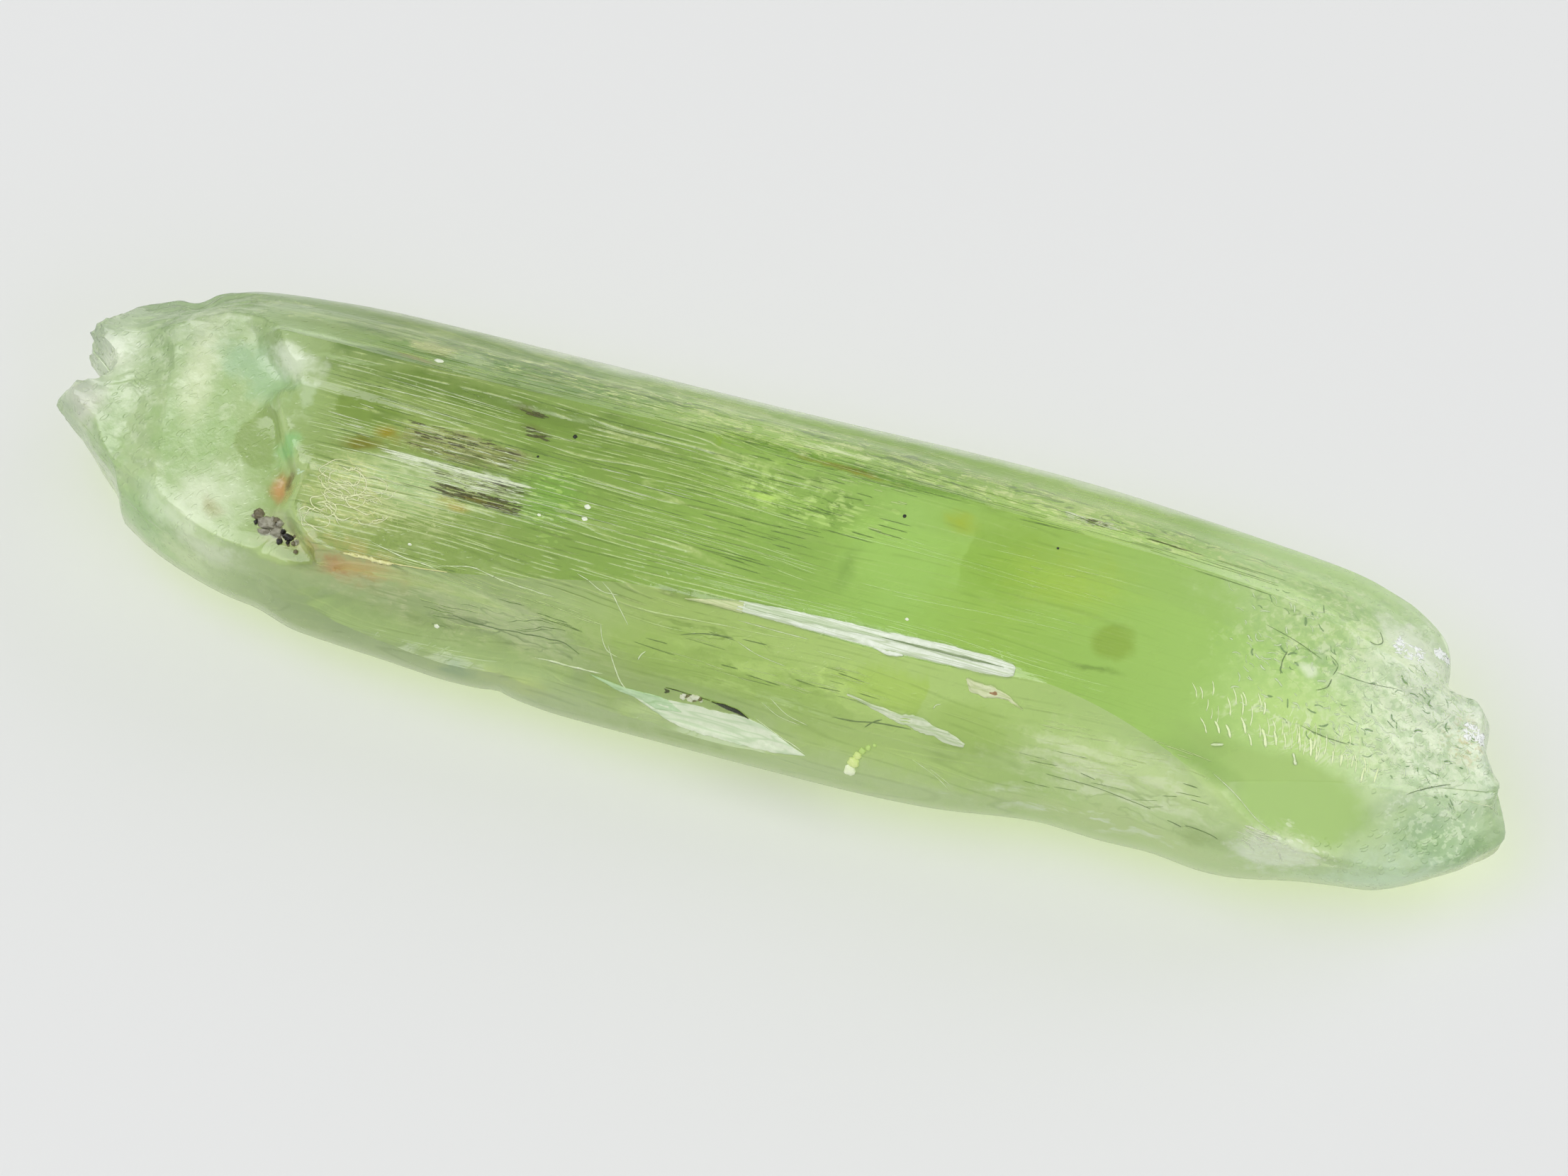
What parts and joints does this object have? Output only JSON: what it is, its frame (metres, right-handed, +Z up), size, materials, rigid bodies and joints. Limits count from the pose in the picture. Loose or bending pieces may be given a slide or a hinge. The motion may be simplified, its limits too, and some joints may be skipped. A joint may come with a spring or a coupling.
{
  "type": "hiddenite crystal",
  "caption": "Green gem crystal, a flattened striated prism with a broken ledge at one end and an etched rounded end, lying on its broad lower face.",
  "frame": {"origin": "on the broad lower face that the crystal lies on, under the middle of its outline", "axes": "+X along the length, towards the etched rounded end; +Y across the width, towards the far side; +Z up out of the broad striated face, through the thickness"},
  "size_m": [0.0406, 0.0102, 0.0059],
  "materials": {
    "hiddenite": "satin"
  },
  "bodies": {
    "root": {"hiddenite_crystal": "hiddenite"}
  },
  "joints": []
}
